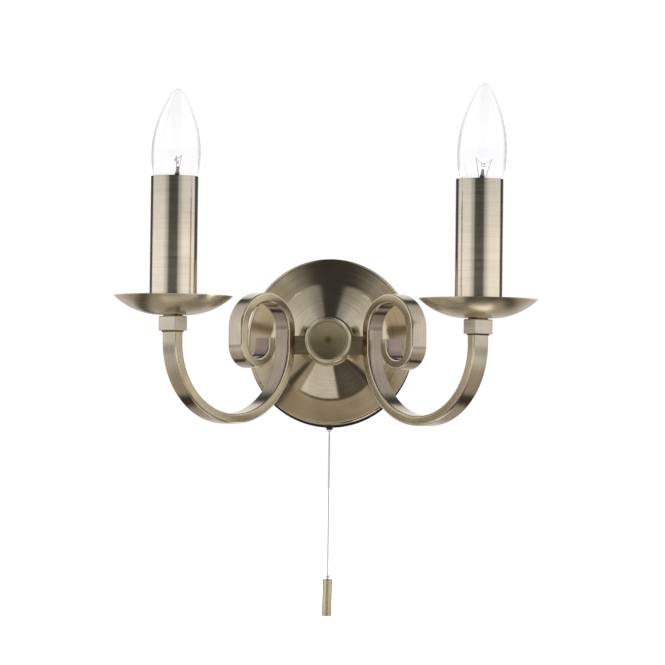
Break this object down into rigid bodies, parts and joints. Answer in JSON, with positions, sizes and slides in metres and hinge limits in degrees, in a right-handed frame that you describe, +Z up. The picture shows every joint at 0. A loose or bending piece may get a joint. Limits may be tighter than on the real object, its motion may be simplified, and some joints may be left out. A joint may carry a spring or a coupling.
{
  "type": "wall light",
  "caption": "Wall light with a round spun canopy, scrolled arms carrying drip pans and candle tubes with clear candle lamps, and a pull-cord switch.",
  "frame": {"origin": "centre of the wall plate's screw pattern, on the plate's back face where it meets the wall", "axes": "+Z up, +Y into the wall, +X to the right as seen from the room"},
  "size_m": [0.2988, 0.1594, 0.3809],
  "materials": {
    "antique_brass": "brushed antique brass, lacquered",
    "plain_brass": "plain brass",
    "black_steel": "black powder coat",
    "black_plastic": "moulded, satin",
    "black_rubber": "matt",
    "white_nylon": "moulded, satin",
    "zinc_steel": "zinc plated",
    "nickel_brass": "nickel plated, bright",
    "black_glass": "fused glass",
    "clear_glass": "clear, polished",
    "filament_wire": "drawn wire",
    "wire_insulation": "PVC sleeve",
    "white_cord": "braided polyester"
  },
  "bodies": {
    "fixture": {"wall_plate": "black_steel", "cable_grommet": "black_rubber", "terminal_block": "white_nylon", "terminal_screws": "zinc_steel", "earth_screw": "zinc_steel", "canopy": "antique_brass", "threaded_rod": "zinc_steel", "rod_nut": "zinc_steel", "crossbar": "antique_brass", "front_cap": "antique_brass", "hub_wires": "wire_insulation", "arm_left": "antique_brass", "arm_wires_left": "wire_insulation", "collar_left": "antique_brass", "drip_pan_left": "antique_brass", "nipple_left": "zinc_steel", "tube_seat_left": "plain_brass", "lock_nut_left": "zinc_steel", "candle_tube_left": "antique_brass", "lampholder_left": "black_plastic", "screw_sleeve_left": "plain_brass", "centre_contact_left": "plain_brass", "lamp_cap_left": "nickel_brass", "lamp_insulator_left": "black_glass", "lamp_glass_left": "clear_glass", "lamp_stem_left": "clear_glass", "lamp_filament_left": "filament_wire", "arm_right": "antique_brass", "arm_wires_right": "wire_insulation", "collar_right": "antique_brass", "drip_pan_right": "antique_brass", "nipple_right": "zinc_steel", "tube_seat_right": "plain_brass", "lock_nut_right": "zinc_steel", "candle_tube_right": "antique_brass", "lampholder_right": "black_plastic", "screw_sleeve_right": "plain_brass", "centre_contact_right": "plain_brass", "lamp_cap_right": "nickel_brass", "lamp_insulator_right": "black_glass", "lamp_glass_right": "clear_glass", "lamp_stem_right": "clear_glass", "lamp_filament_right": "filament_wire", "switch_case": "black_plastic", "switch_lid": "black_plastic", "switch_nozzle": "black_plastic", "nozzle_nut": "zinc_steel", "cord_guide": "white_nylon", "return_spring": "zinc_steel", "switch_pin": "zinc_steel"},
    "pull_slider": {"pull_link": "plain_brass"},
    "contact_lever": {"switch_lever": "plain_brass"},
    "hanging_cord": {"pull_cord": "white_cord", "cord_knot": "white_cord"},
    "hanging_toggle": {"pull_toggle": "antique_brass"}
  },
  "joints": [
    {"name": "pull_travel", "type": "slide", "parent": "fixture", "child": "pull_slider", "axis": [0, 0, -1], "range_m": [0, 0.008], "stiffness_N_per_m": 400, "deforming": ["return_spring"]},
    {"name": "lever_swing", "type": "hinge", "parent": "fixture", "child": "contact_lever", "pos_m": [-0.006, -0.0033, -0.044], "axis": [0, 1, 0], "range_deg": [0, 40]},
    {"name": "cord_swing", "type": "hinge", "parent": "pull_slider", "child": "hanging_cord", "pos_m": [0, -0.0058, -0.0664], "axis": [0, 1, 0], "range_deg": [-35, 35]},
    {"name": "toggle_swing", "type": "hinge", "parent": "hanging_cord", "child": "hanging_toggle", "pos_m": [0, -0.0058, -0.1722], "axis": [0, 1, 0], "range_deg": [-30, 30]}
  ],
  "couplings": [
    {"joint": "lever_swing", "follows": "pull_travel", "rad_per_m": 87.266}
  ]
}
